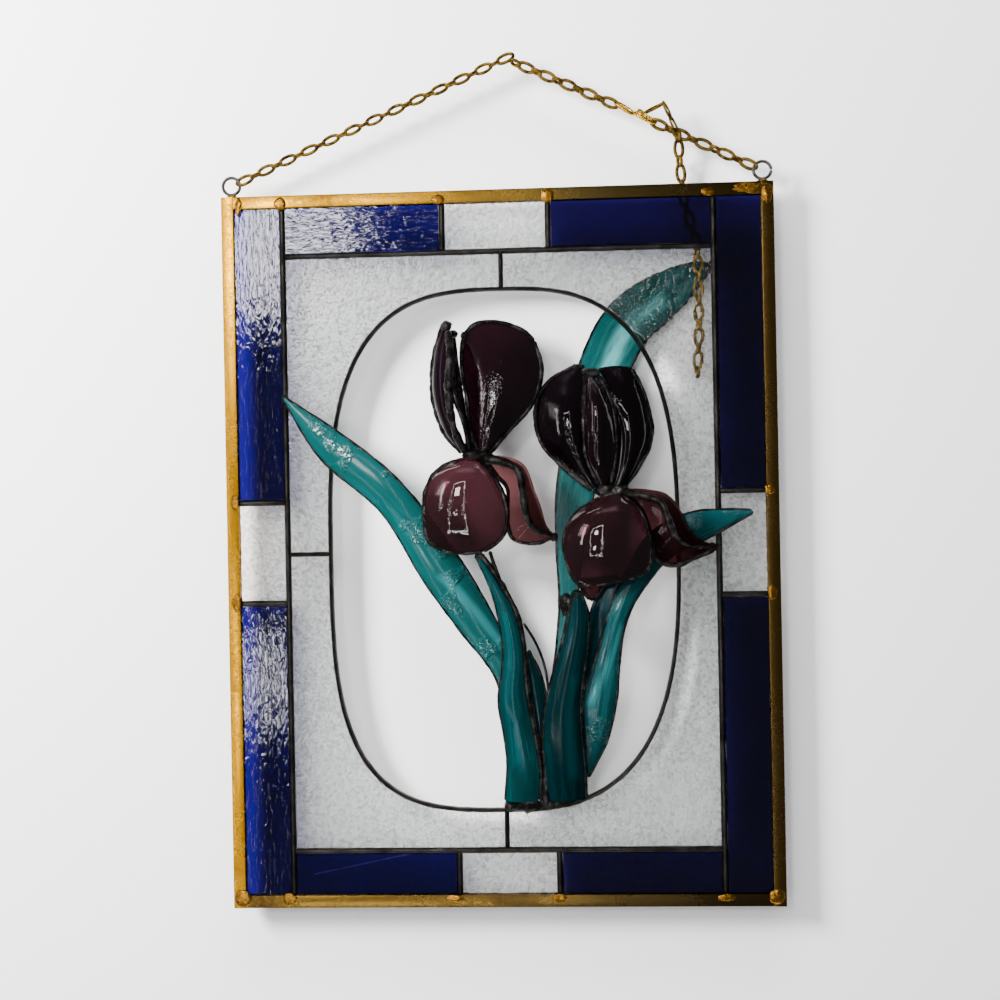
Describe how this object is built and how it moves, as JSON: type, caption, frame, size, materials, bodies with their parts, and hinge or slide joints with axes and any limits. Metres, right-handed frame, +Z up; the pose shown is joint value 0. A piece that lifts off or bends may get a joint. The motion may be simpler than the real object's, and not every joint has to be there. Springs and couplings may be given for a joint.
{
  "type": "stained glass window panel",
  "caption": "Hanging stained glass panel with two bent-glass irises and long leaves in an open oval, a border of blue and clear panes, a brass channel frame and a chain.",
  "frame": {"origin": "where the chain hangs: under the top of its peak link, on the middle plane of the panel", "axes": "+X right seen from the front, -Y towards the viewer, +Z up"},
  "size_m": [0.3563, 0.0428, 0.5514],
  "materials": {
    "brass": "antique brass channel, gold where rubbed and olive brown where dull",
    "copper_solder": "copper patina over solder, smooth and rounded",
    "ring_wire": "bare tinned wire, dull silver",
    "chain_brass": "antique brass with brown patina",
    "solder": "black patina over rounded solder beads",
    "blue_glass": "cobalt blue cathedral glass, glossy",
    "clear_glass": "clear textured glass, rippled",
    "teal_glass": "streaky teal glass, bent, glossy",
    "purple_glass": "dark purple glass with mauve parts, bent, glossy"
  },
  "bodies": {
    "root": {"frame_stile_left": "brass", "frame_stile_right": "brass", "frame_rail_top": "brass", "frame_rail_bottom": "brass", "corner_solder_bottom_left": "copper_solder", "corner_solder_bottom_right": "copper_solder", "ring_left": "ring_wire", "ring_right": "ring_wire", "chain_left": "chain_brass", "chain_right": "chain_brass", "chain_tail": "chain_brass", "border_seams": "solder", "oval_seam": "solder", "iris_left_edging": "solder", "iris_right_edging": "solder", "leaf_front_left_edging": "solder", "leaf_front_centre_edging": "solder", "leaf_front_right_edging": "solder", "leaf_long_left_edging": "solder", "leaf_narrow_dark_edging": "solder", "leaf_small_dark_edging": "solder", "leaf_long_back_edging": "solder", "stem_twisted_wire": "solder", "pane_left_blue_lower": "blue_glass", "pane_left_blue_upper": "blue_glass", "pane_left_clear": "clear_glass", "pane_right_blue_lower": "blue_glass", "pane_right_blue_upper": "blue_glass", "pane_right_clear": "clear_glass", "pane_top_blue_left": "blue_glass", "pane_top_blue_right": "blue_glass", "pane_top_clear": "clear_glass", "pane_bottom_blue_left": "blue_glass", "pane_bottom_blue_right": "blue_glass", "pane_bottom_clear": "clear_glass", "corner_pane_top_left": "clear_glass", "corner_pane_top_right": "clear_glass", "corner_pane_bottom_left": "clear_glass", "corner_pane_bottom_right": "clear_glass", "leaf_front_left": "teal_glass", "leaf_front_centre": "teal_glass", "leaf_front_right": "teal_glass", "leaf_long_left": "teal_glass", "leaf_narrow_dark": "teal_glass", "leaf_small_dark": "teal_glass", "leaf_long_back": "teal_glass", "iris_left_standard": "purple_glass", "iris_left_side_petal_outer": "purple_glass", "iris_left_side_petal_inner": "purple_glass", "iris_left_fall": "purple_glass", "iris_left_curled_fall": "purple_glass", "iris_right_standard_left": "purple_glass", "iris_right_standard_centre": "purple_glass", "iris_right_standard_right": "purple_glass", "iris_right_fall": "purple_glass", "iris_right_curled_fall": "purple_glass", "iris_right_under_petal": "purple_glass"}
  },
  "joints": []
}
